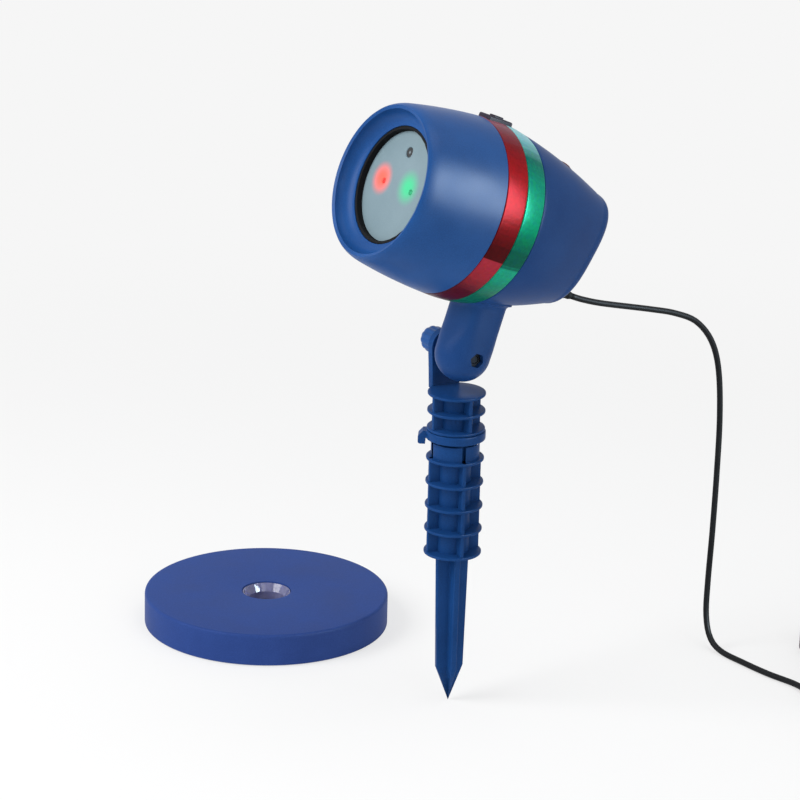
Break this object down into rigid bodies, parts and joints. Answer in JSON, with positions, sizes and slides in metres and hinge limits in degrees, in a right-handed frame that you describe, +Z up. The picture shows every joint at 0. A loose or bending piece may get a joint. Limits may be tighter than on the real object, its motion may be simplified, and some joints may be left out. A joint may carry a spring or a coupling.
{
  "type": "laser star projector",
  "caption": "Garden laser projector: round head with two laser windows on a tilting clamp arm, ribbed stem and ground stake, power cord, and a separate round indoor base.",
  "frame": {"origin": "the tip of the ground stake", "axes": "+Z up along the stake, the head looks towards -Y and tilts about X"},
  "size_m": [0.4151, 0.4246, 0.3962],
  "materials": {
    "shell_blue_plastic": "satin moulded plastic",
    "tail_blue_plastic": "satin moulded plastic",
    "stake_blue_plastic": "satin moulded plastic",
    "base_blue_plastic": "satin moulded plastic",
    "red_metallised_band": "glossy metallised plastic",
    "green_metallised_band": "glossy metallised plastic",
    "grey_face_plate": "matt grey plastic",
    "black_plastic": "matt black plastic",
    "black_rubber": "soft black rubber",
    "clear_window": "clear",
    "clear_liner": "clear moulding",
    "brass": "turned",
    "zinc_plated_steel": "zinc plated",
    "blackened_steel": "black oxide",
    "aluminium": "turned",
    "green_circuit_board": "solder mask",
    "white_acetal": "moulded"
  },
  "bodies": {
    "stake": {"ground_stake": "stake_blue_plastic"},
    "lock_collar": {"lock_collar": "stake_blue_plastic"},
    "stem": {"stem": "stake_blue_plastic", "cord_coil": "black_rubber", "coil_tie": "black_rubber", "adapter_boot": "black_rubber", "adapter_case": "black_plastic", "adapter_blade_1": "zinc_plated_steel", "adapter_blade_2": "zinc_plated_steel"},
    "head": {"front_shell": "shell_blue_plastic", "red_band": "red_metallised_band", "green_band": "green_metallised_band", "rear_shell": "tail_blue_plastic", "face_plate": "grey_face_plate", "face_seal": "black_rubber", "red_window": "clear_window", "green_window": "clear_window", "sensor_window": "clear_window", "light_sensor": "black_plastic", "optics_chassis": "black_plastic", "red_laser_module": "brass", "green_laser_module": "brass", "red_heat_sink": "aluminium", "green_heat_sink": "aluminium", "grating_motor": "zinc_plated_steel", "circuit_board": "green_circuit_board", "chassis_screw_1": "zinc_plated_steel", "chassis_screw_2": "zinc_plated_steel", "chassis_screw_3": "zinc_plated_steel", "switch_housing": "black_plastic", "button_ring": "black_plastic", "cord_boot": "black_rubber", "clamp_nut": "blackened_steel", "power_cord": "black_rubber"},
    "clamp_knob": {"clamp_knob": "shell_blue_plastic", "clamp_washer": "zinc_plated_steel", "clamp_bolt": "blackened_steel"},
    "mode_slider": {"mode_slider": "black_plastic"},
    "rear_button": {"rear_button": "black_plastic"},
    "motor_pinion": {"motor_pinion": "white_acetal"},
    "red_grating_wheel": {"red_grating_wheel": "white_acetal", "red_grating": "clear_window"},
    "green_grating_wheel": {"green_grating_wheel": "white_acetal", "green_grating": "clear_window"},
    "indoor_base": {"base_shell": "base_blue_plastic", "base_liner": "clear_liner", "base_weight": "zinc_plated_steel", "base_cover": "black_plastic", "base_foot_1": "black_rubber", "base_foot_2": "black_rubber", "base_foot_3": "black_rubber", "base_foot_4": "black_rubber"}
  },
  "joints": [
    {"name": "collar_lock", "type": "hinge", "parent": "stake", "child": "lock_collar", "pos_m": [0, 0, 0.1779], "axis": [0, 0, 1], "range_deg": [0, 30]},
    {"name": "stem_pan", "type": "hinge", "parent": "stake", "child": "stem", "pos_m": [0, 0, 0.1841], "axis": [0, 0, 1], "range_deg": [-60, 60]},
    {"name": "head_tilt", "type": "hinge", "parent": "stem", "child": "head", "pos_m": [0, 0.0015, 0.2339], "axis": [-1, 0, 0], "range_deg": [-60, 50], "deforming": ["power_cord"]},
    {"name": "clamp_turn", "type": "hinge", "parent": "stem", "child": "clamp_knob", "pos_m": [0, 0.0015, 0.2339], "axis": [1, 0, 0], "continuous": true},
    {"name": "mode_slide", "type": "slide", "parent": "head", "child": "mode_slider", "axis": [0, 0.9272, -0.3746], "range_m": [-0.003, 0.003]},
    {"name": "button_press", "type": "slide", "parent": "head", "child": "rear_button", "axis": [0, -0.6419, -0.7668], "range_m": [0, 0.0012], "stiffness_N_per_m": 400, "springref_m": -0.0005},
    {"name": "pinion_spin", "type": "hinge", "parent": "head", "child": "motor_pinion", "pos_m": [0, -0.03935, 0.34316], "axis": [0, 0.9272, -0.3746], "continuous": true},
    {"name": "red_grating_spin", "type": "hinge", "parent": "head", "child": "red_grating_wheel", "pos_m": [-0.0156, -0.03935, 0.34316], "axis": [0, 0.9272, -0.3746], "continuous": true},
    {"name": "green_grating_spin", "type": "hinge", "parent": "head", "child": "green_grating_wheel", "pos_m": [0.0156, -0.03935, 0.34316], "axis": [0, 0.9272, -0.3746], "continuous": true},
    {"name": "base_lift", "type": "slide", "parent": "stake", "child": "indoor_base", "axis": [0, 0, 1], "range_m": [0, 0.1]}
  ],
  "couplings": [
    {"joint": "pinion_spin", "follows": "red_grating_spin", "ratio": -4},
    {"joint": "green_grating_spin", "follows": "red_grating_spin", "ratio": 1}
  ]
}
